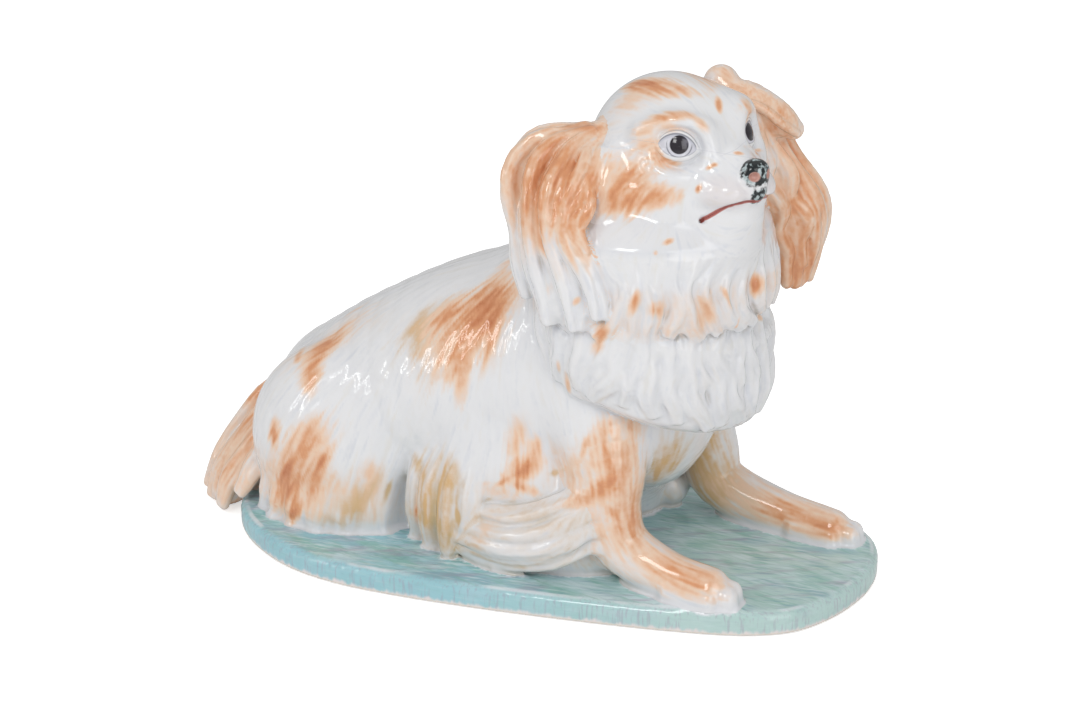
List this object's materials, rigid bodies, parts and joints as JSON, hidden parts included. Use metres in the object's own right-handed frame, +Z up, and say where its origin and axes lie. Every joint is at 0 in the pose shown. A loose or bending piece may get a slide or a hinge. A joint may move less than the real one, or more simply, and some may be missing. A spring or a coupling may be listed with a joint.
{
  "type": "porcelain dog figurine",
  "caption": "Glazed porcelain toy spaniel with long ears and a tiered ruff, crouching on an irregular grassy slab and looking to its right.",
  "frame": {"origin": "point on the flat underside of the slab, under the dog's middle plane and just behind its shoulders", "axes": "+X to the front of the slab, where the dog's body points, +Y to the dog's left, +Z up from the resting face"},
  "size_m": [0.2028, 0.1026, 0.1435],
  "materials": {
    "white_glaze": "white glaze, glossy",
    "orange_enamel": "iron-red strokes under gloss",
    "cream_glaze": "cream and ochre strokes, glossy",
    "green_enamel": "turquoise and green strokes, glossy"
  },
  "bodies": {
    "root": {"base_slab": "green_enamel", "trunk_shell": "white_glaze", "haunch_right": "white_glaze", "haunch_left": "white_glaze", "foreleg_right": "orange_enamel", "foreleg_left": "orange_enamel", "belly_hair_right": "cream_glaze", "belly_hair_left": "cream_glaze", "head_shell": "white_glaze", "ear_right": "orange_enamel", "ear_left": "orange_enamel", "ruff_upper": "white_glaze", "ruff_middle": "white_glaze", "ruff_lower": "white_glaze", "tail": "orange_enamel"}
  },
  "joints": []
}
